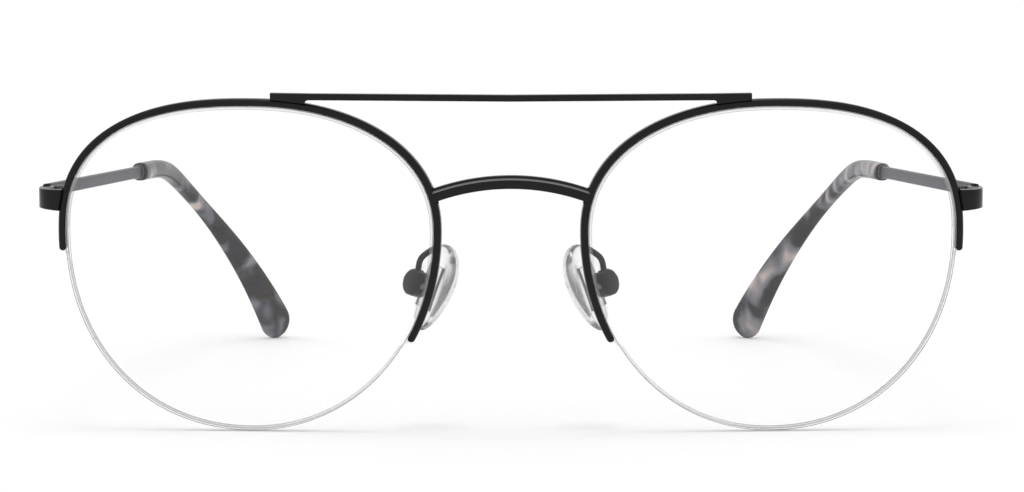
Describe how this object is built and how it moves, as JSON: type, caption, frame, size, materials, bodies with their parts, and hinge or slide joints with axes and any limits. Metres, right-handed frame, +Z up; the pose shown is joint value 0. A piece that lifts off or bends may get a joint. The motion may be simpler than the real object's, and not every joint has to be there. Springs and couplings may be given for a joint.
{
  "type": "half rim eyeglasses",
  "caption": "Half rim eyeglasses: metal rims hold clear lenses along the top and cords hold them below, with a brow bar, nose pads on wires and folding temples with curved tips.",
  "frame": {"origin": "under the middle of the whole, on the table the glasses stand on", "axes": "+Z up, the wearer looks along -Y, the temples run back along +Y, and +X is the wearer's left"},
  "size_m": [0.1332, 0.1404, 0.0476],
  "materials": {
    "black_metal": "satin black lacquer",
    "grey_metal": "dark satin",
    "clear_lens": "clear and polished, with no tint",
    "clear_nylon": "clear nylon",
    "clear_silicone": "clear and soft",
    "marbled_acetate": "polished, marbled in charcoal, grey and brown"
  },
  "bodies": {
    "front": {"brow_bar": "black_metal", "nose_bridge": "black_metal", "left_lens": "clear_lens", "left_rim": "black_metal", "left_rim_liner": "clear_nylon", "left_lens_cord": "clear_nylon", "left_endpiece": "black_metal", "left_front_hinge": "grey_metal", "left_hinge_screw": "grey_metal", "left_pad_box": "grey_metal", "left_pad_screw": "grey_metal", "left_pad_wire": "black_metal", "right_lens": "clear_lens", "right_rim": "black_metal", "right_rim_liner": "clear_nylon", "right_lens_cord": "clear_nylon", "right_endpiece": "black_metal", "right_front_hinge": "grey_metal", "right_hinge_screw": "grey_metal", "right_pad_box": "grey_metal", "right_pad_screw": "grey_metal", "right_pad_wire": "black_metal"},
    "left_temple": {"left_temple_hinge": "grey_metal", "left_temple_arm": "black_metal", "left_temple_tip": "marbled_acetate"},
    "right_temple": {"right_temple_hinge": "grey_metal", "right_temple_arm": "black_metal", "right_temple_tip": "marbled_acetate"},
    "left_pad": {"left_nose_pad": "clear_silicone", "left_pad_insert": "clear_nylon"},
    "right_pad": {"right_nose_pad": "clear_silicone", "right_pad_insert": "clear_nylon"}
  },
  "joints": [
    {"name": "left_temple_fold", "type": "hinge", "parent": "front", "child": "left_temple", "pos_m": [0.0641, -0.05902, 0.03275], "axis": [0, -0.0436, 0.999], "range_deg": [0, 80]},
    {"name": "right_temple_fold", "type": "hinge", "parent": "front", "child": "right_temple", "pos_m": [-0.0641, -0.05902, 0.03275], "axis": [0, 0.0436, -0.999], "range_deg": [0, 74]},
    {"name": "left_pad_rock", "type": "hinge", "parent": "front", "child": "left_pad", "pos_m": [0.01347, -0.06223, 0.02045], "axis": [0.539, 0.8098, 0.2317], "range_deg": [-10, 10]},
    {"name": "right_pad_rock", "type": "hinge", "parent": "front", "child": "right_pad", "pos_m": [-0.01347, -0.06223, 0.02045], "axis": [-0.539, 0.8098, 0.2317], "range_deg": [-10, 10]}
  ]
}
